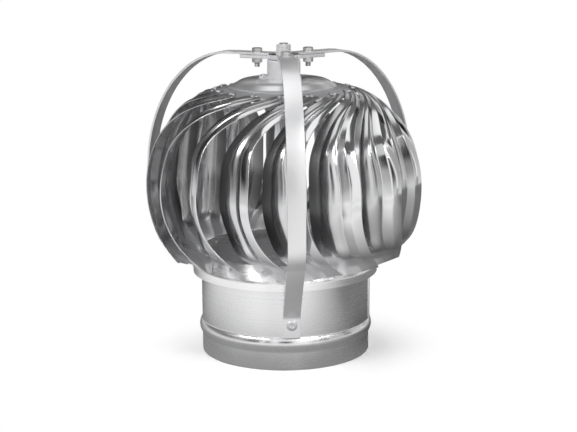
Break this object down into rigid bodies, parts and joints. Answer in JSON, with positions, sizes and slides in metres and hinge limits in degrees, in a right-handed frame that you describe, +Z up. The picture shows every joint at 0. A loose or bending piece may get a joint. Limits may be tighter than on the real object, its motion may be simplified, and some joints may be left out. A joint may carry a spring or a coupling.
{
  "type": "roof turbine ventilator",
  "caption": "Wind-driven roof ventilator: a ball of swirled stainless vanes turning on a short fixed spindle, hung from strap legs over a round spigot collar.",
  "frame": {"origin": "on the rotor axis at the lower edge of the spigot collar", "axes": "+Z up along the rotor axis, the tallest extent; -Y towards the front strap leg, +X to the right of it"},
  "size_m": [0.2486, 0.2592, 0.274],
  "materials": {
    "polished_sheet": "gloss",
    "collar_steel": "satin",
    "strap_steel": "satin",
    "rivet_steel": "satin",
    "cast_zinc": "matte",
    "zinc_hardware": "satin",
    "bearing_steel": "gloss",
    "spring_steel": "satin",
    "cage_brass": "satin"
  },
  "bodies": {
    "frame": {"base_collar": "collar_steel", "leg_front": "strap_steel", "leg_right": "strap_steel", "leg_left": "strap_steel", "foot_rivets": "rivet_steel", "spider_hub": "cast_zinc", "arm_bolts": "zinc_hardware", "arm_nuts": "zinc_hardware", "spindle_bolt": "zinc_hardware", "hub_spacer": "zinc_hardware", "inner_races": "bearing_steel"},
    "rotor": {"bearing_housing": "cast_zinc", "bearing_circlip": "spring_steel", "housing_screws": "zinc_hardware", "housing_nuts": "zinc_hardware", "outer_races": "bearing_steel", "dome_cap": "polished_sheet", "top_plate": "polished_sheet", "vane_01": "polished_sheet", "vane_02": "polished_sheet", "vane_03": "polished_sheet", "vane_04": "polished_sheet", "vane_05": "polished_sheet", "vane_06": "polished_sheet", "vane_07": "polished_sheet", "vane_08": "polished_sheet", "vane_09": "polished_sheet", "vane_10": "polished_sheet", "vane_11": "polished_sheet", "vane_12": "polished_sheet", "vane_13": "polished_sheet", "vane_14": "polished_sheet", "vane_15": "polished_sheet", "vane_16": "polished_sheet", "top_rivets": "rivet_steel", "bottom_ring": "polished_sheet", "bottom_rivets": "rivet_steel"},
    "ball_cage": {"bearing_balls": "bearing_steel", "bearing_cages": "cage_brass"}
  },
  "joints": [
    {"name": "rotor_spin", "type": "hinge", "parent": "frame", "child": "rotor", "pos_m": [0, 0, 0.2512], "axis": [0, 0, 1], "continuous": true},
    {"name": "cage_spin", "type": "hinge", "parent": "frame", "child": "ball_cage", "pos_m": [0, 0, 0.2512], "axis": [0, 0, 1], "continuous": true}
  ],
  "couplings": [
    {"joint": "cage_spin", "follows": "rotor_spin", "ratio": 0.63}
  ]
}
